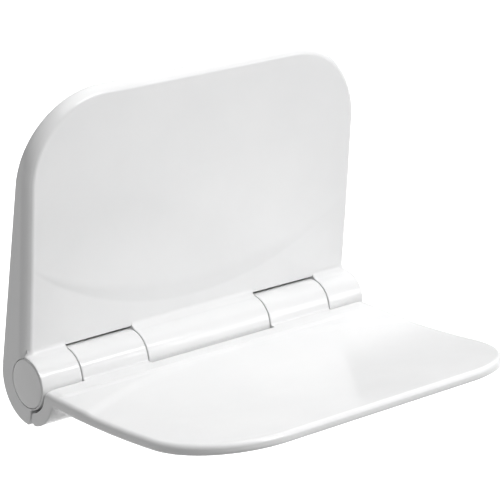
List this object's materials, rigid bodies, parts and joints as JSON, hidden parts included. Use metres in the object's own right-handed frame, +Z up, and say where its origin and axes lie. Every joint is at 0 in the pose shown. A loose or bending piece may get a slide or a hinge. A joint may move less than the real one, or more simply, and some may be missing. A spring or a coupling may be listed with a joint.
{
  "type": "folding shower seat",
  "caption": "Wall-mounted shower seat: a white plastic seat that folds up on a long barrel hinge against a rounded wall plate.",
  "frame": {"origin": "centre of the rectangle of wall holes, on the wall plane", "axes": "+Z up, -Y out from the wall towards the user, +X to the right seen from the front; the hinge axis runs along X"},
  "size_m": [0.3816, 0.2992, 0.3025],
  "materials": {
    "white_gloss": "glossy moulded ABS",
    "white_cap": "satin moulded ABS",
    "stainless": "brushed",
    "aluminium": "mill finish",
    "black_rubber": "matt",
    "grey_foam": "closed-cell foam",
    "acetal": "natural acetal",
    "dark_acetal": "dark acetal",
    "spring_steel": "phosphated"
  },
  "bodies": {
    "wall_unit": {"wall_shell": "white_gloss", "wall_bracket": "stainless", "hinge_lugs": "stainless", "wall_seal": "grey_foam", "shell_pads": "grey_foam", "cover_screws": "stainless", "rivet_nuts": "stainless", "hinge_axle": "stainless", "axle_clips": "spring_steel", "axle_sleeve": "aluminium", "thrust_washers": "dark_acetal", "cap_left": "white_cap", "cap_right": "white_cap", "cap_rings": "black_rubber", "stop_buffers": "black_rubber"},
    "seat": {"seat_top": "white_gloss", "seat_base": "white_gloss", "seat_bushes": "acetal", "seat_gasket": "black_rubber", "seat_bars": "aluminium", "bar_screws": "stainless", "base_screws": "stainless"}
  },
  "joints": [
    {"name": "seat_fold", "type": "hinge", "parent": "wall_unit", "child": "seat", "pos_m": [0, -0.04, -0.13], "axis": [-1, 0, 0], "range_deg": [0, 82]}
  ]
}
